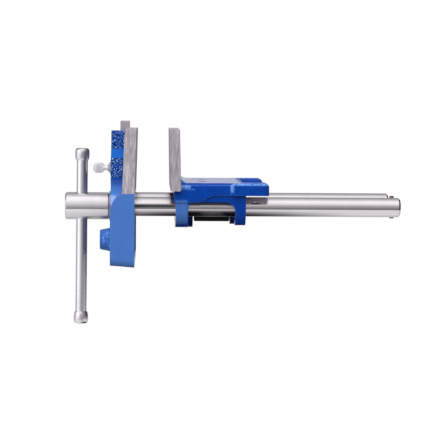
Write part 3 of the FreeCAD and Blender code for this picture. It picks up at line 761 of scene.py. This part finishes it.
def lathed(name, points, steps):
    """Solid spun about the X axis from a profile that starts and ends on the axis."""
    part = draw_profile(name, points)
    bpy.ops.mesh.select_all(action="SELECT")
    bpy.ops.mesh.spin(steps=steps, angle=FULL_TURN, center=(0.0, 0.0, 0.0), axis=(1.0, 0.0, 0.0))
    close_shape()
    return part


def bevel_edges(part, wanted, width, steps):
    """Rounds the edges whose two ends wanted accepts. The part is in object mode before and after."""
    bpy.ops.object.mode_set(mode="EDIT")
    bpy.ops.mesh.select_mode(type="EDGE")
    bpy.ops.mesh.select_all(action="DESELECT")
    bpy.ops.object.mode_set(mode="OBJECT")
    for edge in part.data.edges:
        edge.select = wanted(*(part.data.vertices[v].co for v in edge.vertices))
    bpy.ops.object.mode_set(mode="EDIT")
    bpy.ops.mesh.bevel(offset=width, segments=steps, profile=0.5, affect="EDGES", clamp_overlap=True)
    bpy.ops.object.mode_set(mode="OBJECT")


def join_parts(parts):
    pick(parts[0])
    for part in parts[1:]:
        part.select_set(True)
    bpy.ops.object.join()
    return parts[0]


def place_part(part, place, turn=(0.0, 0.0, 0.0)):
    """Turns and moves a part, then applies both, so that its place is in its mesh."""
    pick(part)
    part.rotation_euler = turn
    part.location = place
    bpy.ops.object.transform_apply(location=True, rotation=True, scale=True)


def stand_for(part, node, body, material):
    give_finish(part, material)
    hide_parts(node)
    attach(part, body)


def screw_thread():
    """One helical ridge wound along the screw, cut off square at both ends."""
    ridge = [
        (0.0, THREAD_ROOT),
        (THREAD_CREST, THREAD_ROOT),
        (THREAD_CREST + THREAD_FLANK, SCREW_RADIUS),
        (2.0 * THREAD_CREST + THREAD_FLANK, SCREW_RADIUS),
        (THREAD_PITCH, THREAD_ROOT),
    ]
    before = THREAD_START - 2.0 * THREAD_PITCH
    thread = draw_profile("screw_thread", [(before + x, radius) for x, radius in ridge])
    bpy.ops.object.mode_set(mode="OBJECT")
    winding = thread.modifiers.new("winding", "SCREW")
    winding.axis = "X"
    winding.angle = FULL_TURN
    winding.screw_offset = THREAD_PITCH
    winding.iterations = int((SCREW_TAIL - THREAD_START) / THREAD_PITCH) + 4
    winding.steps = WINDING_STEPS
    winding.render_steps = WINDING_STEPS
    winding.use_merge_vertices = True
    winding.merge_threshold = 1e-5
    bpy.ops.object.modifier_apply(modifier="winding")
    bpy.ops.object.mode_set(mode="EDIT")
    cap = SCREW_TAIL - TAIL_CHAMFER - TAIL_GAP
    for x, way in ((THREAD_START, -1.0), (cap, 1.0)):
        bpy.ops.mesh.select_all(action="SELECT")
        bpy.ops.mesh.bisect(plane_co=(x, 0.0, 0.0), plane_no=(way, 0.0, 0.0), threshold=1e-6,
                            use_fill=True, clear_outer=True)
    bpy.ops.mesh.extrude_region_move(TRANSFORM_OT_translate={"value": (TAIL_CHAMFER, 0.0, 0.0)})
    bpy.ops.transform.resize(value=(1.0, TAIL_TAPER, TAIL_TAPER), center_override=(SCREW_TAIL, 0.0, 0.0))
    close_shape()
    return thread


def main_screw(material):
    """Smooth shank through the front casting and the thread behind it."""
    start = HEAD_REAR - SPIGOT_LENGTH
    shank = lathed("main_screw_shown", [
        (start, 0.0),
        (start, SPIGOT_RADIUS - SPIGOT_CHAMFER),
        (start + SPIGOT_CHAMFER, SPIGOT_RADIUS),
        (HEAD_REAR, SPIGOT_RADIUS),
        (HEAD_REAR, SCREW_RADIUS),
        (THREAD_START - THREAD_RUNOUT, SCREW_RADIUS),
        (THREAD_START, THREAD_ROOT),
        (THREAD_START, 0.0),
    ], SHANK_STEPS)
    screw = join_parts([shank, screw_thread()])
    place_part(screw, (0.0, 0.0, SCREW_Z))
    smooth(screw, degrees=25.0)
    stand_for(screw, "main_screw", "screw", material)


def handle_knob(node, seat, material):
    """Knob with a full, softly rounded barrel and a slightly domed end, its seat measured from the pivot."""
    outward = 1.0 if seat > 0.0 else -1.0
    profile = [(share * KNOB_LENGTH, radius * MM) for share, radius in KNOB_PROFILE]
    knob = lathed(node + "_shown", profile, ROUND_STEPS)
    place_part(knob, HANDLE_PIVOT + HANDLE_AXIS * seat, (0.0, -0.5 * math.pi * outward + HANDLE_LEAN, 0.0))
    smooth(knob, degrees=50.0)
    stand_for(knob, node, "handle", material)


def spade():
    """Flat grip with well rounded corners and softened edges."""
    grip = add_primitive("spade", bpy.ops.mesh.primitive_cube_add, size=MM)
    bpy.ops.transform.resize(value=SPADE_SIZE)
    bpy.ops.object.mode_set(mode="OBJECT")
    bevel_edges(grip, lambda start, end: abs(start.y - end.y) > SPADE_ACROSS, SPADE_CORNER, 10)
    bevel_edges(grip, lambda start, end: abs(start.y - end.y) <= SPADE_ACROSS, SPADE_ROUNDING, 4)
    bpy.ops.object.mode_set(mode="EDIT")
    close_shape()
    place_part(grip, (SPADE_X, 0.0, 0.0))
    return grip


def spade_bar(place):
    bar = add_primitive("spade_bar", bpy.ops.mesh.primitive_cube_add, size=MM)
    bpy.ops.transform.resize(value=BAR_SIZE)
    bpy.ops.mesh.bevel(offset=BAR_ROUNDING, segments=3, affect="EDGES")
    close_shape()
    place_part(bar, (SPADE_X + place, 0.0, 0.0))
    return bar


def thumb_screw(material):
    neck = SPADE_REAR + NECK_LENGTH
    seat = neck + COLLAR_LENGTH
    profile = [(SPADE_REAR - NECK_INSIDE, 0.0), (SPADE_REAR - NECK_INSIDE, NECK_RADIUS)]
    profile += [(neck + share * COLLAR_LENGTH, radius * MM) for share, radius in COLLAR_PROFILE]
    profile += [
        (seat, SHANK_RADIUS),
        (THUMB_HIGH.x - SHANK_CHAMFER, SHANK_RADIUS),
        (THUMB_HIGH.x, SHANK_RADIUS - SHANK_CHAMFER),
        (THUMB_HIGH.x, 0.0),
    ]
    turned = lathed("thumb_screw_shown", profile, ROUND_STEPS)
    screw = join_parts([turned, spade()] + [spade_bar(place) for place in BAR_PLACES])
    place_part(screw, (0.0, 0.0, THUMB_Z))
    smooth(screw, degrees=40.0)
    stand_for(screw, "dog_thumb_screw", "thumb_screw", material)


def dress_all():
    dress(["rear_jaw"], casting_finish("rear_enamel", REAR_ENAMEL, REAR_ENAMEL_DARK, rear_ground,
                                       iron_light=1.01, lights=rear_lights))
    dress(["front_jaw"], casting_finish("front_enamel", FRONT_ENAMEL, FRONT_ENAMEL_DARK, front_ground,
                                        iron_light=1.07, paints=front_paints))
    dress(["guide_rod_near", "guide_rod_far"],
          steel("ground_rod", ROD_STEEL, roughness=0.14, along=(0.02, 1.0, 1.0), scratch=0.06, spread=0.8,
                shade_mask=rod_shade))
    main_screw(steel("screw_steel", SCREW_STEEL, roughness=0.2))
    dress(["screw_head"],
          steel("plated_head", HEAD_STEEL, roughness=0.22, along=(1.0, 0.05, 0.05), scratch=0.03, spread=1.0))
    dress(["handle_bar"],
          steel("plated_bar", BAR_STEEL, roughness=0.22, along=(1.0, 1.0, 0.02), scratch=0.05, spread=0.5,
                spread_axis="Z"))
    plated_knob = steel("plated_knob", KNOB_STEEL, roughness=0.32)
    handle_knob("handle_knob_upper", UPPER_SEAT, plated_knob)
    handle_knob("handle_knob_lower", LOWER_SEAT, plated_knob)
    dress(["dog_bar"], steel("dog_steel", DOG_STEEL, roughness=0.42, metallic=0.4, along=(1.0, 1.0, 0.03)))
    thumb_screw(steel("thumb_screw_plate", THUMB_STEEL, roughness=0.3, metallic=0.25, shade_mask=spade_grooves))
    dress(["front_thrust_washer", "rear_thrust_washer", "screw_collar"],
          steel("washer_steel", WASHER_STEEL, roughness=0.3))
    dress(["rod_pin_near", "rod_pin_far", "collar_pin", "tail_stop_pin"],
          steel("pin_steel", PIN_STEEL, roughness=0.35))
    dress(["screw_nut"], black_nut())


def make_camera():
    data = bpy.data.cameras.new("photo_camera")
    data.sensor_fit = "HORIZONTAL"
    data.sensor_width = CAMERA_SENSOR
    data.lens = CAMERA_LENS
    data.clip_start = CAMERA_NEAR
    data.clip_end = CAMERA_FAR
    camera = bpy.data.objects.new("photo_camera", data)
    bpy.context.scene.collection.objects.link(camera)
    camera.location = CAMERA_PLACE
    turn = CAMERA_AIM.to_track_quat("-Z", "Y") @ Quaternion((0.0, 0.0, 1.0), CAMERA_ROLL)
    camera.rotation_mode = "QUATERNION"
    camera.rotation_quaternion = turn
    bpy.context.scene.camera = camera


def studio_gloss(wires, x, y, z):
    """Brightness of the studio as gloss sees it in a direction."""
    angle = wires.maths("DEGREES", wires.maths("ARCTAN2", z, wires.times(y, -1.0)))
    steep = wires.above(wires.maths("ABSOLUTE", z), *STEEP)
    ends = wires.blended(steep, wires.levels(x, LEVEL_ENDS), wires.levels(x, STEEP_ENDS))
    sideways = wires.times(wires.above(wires.maths("ABSOLUTE", x), *SIDEWAYS), wires.without(steep))
    gloss = wires.times(wires.levels(angle, STUDIO), ends)
    gloss = wires.blended(sideways, gloss, wires.levels(x, SIDE_ENDS))
    return wires.times(gloss, wires.blended(wires.above(y, *FAR), 1.0, wires.levels(x, FAR_ENDS)))


def make_world():
    """Studio all round for gloss, soft daylight for the rest, and a plain white backdrop for the camera."""
    world = bpy.data.worlds.new("studio")
    bpy.context.scene.world = world
    world.use_nodes = True
    world.node_tree.nodes.clear()
    wires = Wiring(world.node_tree)
    split = wires.add("ShaderNodeSeparateXYZ")
    wires.link(wires.add("ShaderNodeTexCoord").outputs["Generated"], split.inputs[0])
    x, y, z = (split.outputs[letter] for letter in "XYZ")
    gloss = studio_gloss(wires, x, y, z)
    daylight = wires.times(wires.levels(z, DAYLIGHT), wires.levels(x, DAYLIGHT_ENDS))
    rays = wires.add("ShaderNodeLightPath")
    dome = wires.add("ShaderNodeBackground")
    wires.link(wires.blended(rays.outputs["Is Glossy Ray"], daylight, gloss), dome.inputs["Strength"])
    plain = wires.add("ShaderNodeBackground")
    plain.inputs["Color"].default_value = (1.0, 1.0, 1.0, 1.0)
    mix = wires.add("ShaderNodeMixShader")
    seen = wires.largest(rays.outputs["Is Camera Ray"], rays.outputs["Is Transmission Ray"])
    wires.link(seen, mix.inputs[0])
    wires.link(dome.outputs[0], mix.inputs[1])
    wires.link(plain.outputs[0], mix.inputs[2])
    wires.link(mix.outputs[0], wires.add("ShaderNodeOutputWorld").inputs["Surface"])


def floor_finish():
    """White where the camera sees it, less its shadows. Metal sees a painted shadow of the castings on it."""
    finish = Finish("studio_floor")
    shader = finish.shader
    rays = finish.add("ShaderNodeLightPath")
    seen = finish.largest(rays.outputs["Is Camera Ray"], rays.outputs["Is Transmission Ray"])
    finish.link(finish.mixed(seen, FLOOR_GREY, FLOOR_WHITE), shader.inputs["Base Color"])
    shader.inputs["Roughness"].default_value = 0.9
    shader.inputs["Specular IOR Level"].default_value = 0.1
    shader.inputs["Emission Color"].default_value = (1.0, 1.0, 1.0, 1.0)
    finish.link(finish.times(seen, FLOOR_LIFT), shader.inputs["Emission Strength"])
    x, y = (finish.axis(letter) for letter in "XY")
    # Painted shadow of the castings on the floor, seen only in reflections
    across = finish.maths("DIVIDE", finish.maths("SUBTRACT", x, DIM_X), DIM_HALF_X)
    along = finish.maths("DIVIDE", finish.maths("SUBTRACT", y, DIM_Y), DIM_HALF_Y)
    squares = finish.maths("ADD", finish.maths("POWER", across, 2.0), finish.maths("POWER", along, 2.0))
    outside = finish.above(finish.maths("SQRT", squares), 1.0, DIM_BLUR)
    behind = finish.above(y, BEHIND_Y, BEHIND_BLUR)
    glow = finish.add("ShaderNodeEmission")
    finish.link(finish.times(finish.blended(outside, DIM_LEVEL, OPEN_LEVEL),
                             finish.blended(behind, 1.0, BEHIND_LEVEL)), glow.inputs["Strength"])
    mix = finish.add("ShaderNodeMixShader")
    finish.link(rays.outputs["Is Glossy Ray"], mix.inputs[0])
    finish.link(shader.outputs[0], mix.inputs[1])
    finish.link(glow.outputs[0], mix.inputs[2])
    finish.link(mix.outputs[0], finish.tree.nodes["Material Output"].inputs["Surface"])
    return finish.material


def make_floor():
    """Floor below the handle's reach, from its near edge to far behind the vise."""
    bpy.ops.object.select_all(action="DESELECT")
    bpy.ops.mesh.primitive_plane_add(size=1.0, location=(0.0, 0.0, 0.0))
    floor = bpy.context.object
    floor.name = "studio_floor"
    for corner in floor.data.vertices:
        depth = FLOOR_NEAR if corner.co.y < 0.0 else FLOOR_FAR
        side = FLOOR_HALF_WIDTH if corner.co.x > 0.0 else -FLOOR_HALF_WIDTH
        corner.co = (side, depth, FLOOR_Z)
    floor.data.materials.append(floor_finish())


def make_lamp(name, place, aim, size, power):
    """Area lamp that lights the vise but does not show in its gloss."""
    data = bpy.data.lights.new(name, "AREA")
    data.shape = "RECTANGLE"
    data.size, data.size_y = size
    data.energy = power
    lamp = bpy.data.objects.new(name, data)
    bpy.context.scene.collection.objects.link(lamp)
    lamp.location = place
    lamp.rotation_mode = "QUATERNION"
    lamp.rotation_quaternion = (Vector(aim) - Vector(place)).to_track_quat("-Z", "Y")
    lamp.visible_glossy = False


dress_all()
make_camera()
make_world()
make_floor()
make_lamp("softbox_above", (-0.3, -0.5, 1.5), aim=(0.0, 0.0, 0.0), size=(1.4, 1.0), power=8.0)
make_lamp("softbox_front", (-0.5, -1.7, 0.8), aim=(0.0, 0.0, -0.05), size=(1.2, 0.9), power=15.0)
bpy.context.scene.view_settings.view_transform = "Standard"
